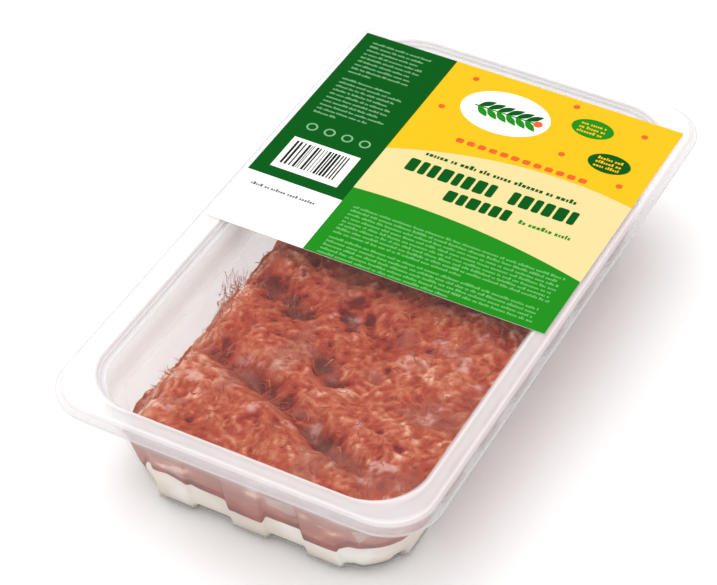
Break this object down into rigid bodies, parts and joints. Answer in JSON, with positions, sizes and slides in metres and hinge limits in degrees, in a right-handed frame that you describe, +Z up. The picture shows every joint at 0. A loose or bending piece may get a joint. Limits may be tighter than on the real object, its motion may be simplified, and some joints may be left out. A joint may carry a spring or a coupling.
{
  "type": "meat tray pack",
  "caption": "Sealed food tray with a wide flange, fluted walls and moulded feet, filled with minced meat on an absorbent pad, under a clear film with a printed label.",
  "frame": {"origin": "middle of the footprint, at the level of the feet's undersides", "axes": "+X across the tray, +Y along it from the open-view end towards the labelled end, +Z up"},
  "size_m": [0.12, 0.21, 0.0425],
  "materials": {
    "milky_polypropylene": "milky translucent thermoformed sheet, satin",
    "minced_meat": "moist fine mince in pink and red-brown strands with pale flecks",
    "absorbent_fleece": "white non-woven, matt",
    "clear_film": "clear glossy lidding film",
    "printed_label": "printed in fields of green, yellow, cream and white, satin"
  },
  "bodies": {
    "root": {"tray": "milky_polypropylene", "mince": "minced_meat", "absorbent_pad": "absorbent_fleece", "lidding_film": "clear_film", "label": "printed_label"}
  },
  "joints": []
}
